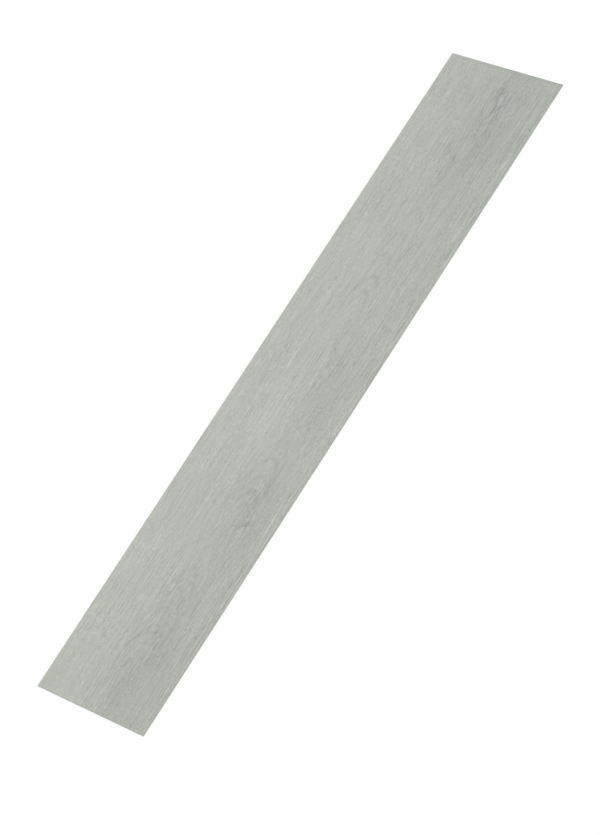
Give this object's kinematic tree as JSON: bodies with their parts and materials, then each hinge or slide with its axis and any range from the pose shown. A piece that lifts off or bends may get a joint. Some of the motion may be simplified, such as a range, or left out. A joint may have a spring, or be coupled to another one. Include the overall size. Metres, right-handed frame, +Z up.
{
  "type": "glue-down vinyl plank",
  "caption": "Thin flat rectangular vinyl flooring plank with a pale sage-grey oak-grain face and fine bevelled edges, glued down by its whole back.",
  "frame": {"origin": "middle of the plank's flat back, on the floor", "axes": "+X along the length, +Y across the width, +Z up out of the grained face"},
  "size_m": [1.2192, 0.2286, 0.0025],
  "materials": {
    "vinyl": "matt printed oak grain under an embossed clear wear coat"
  },
  "bodies": {
    "root": {"plank": "vinyl"}
  },
  "joints": []
}
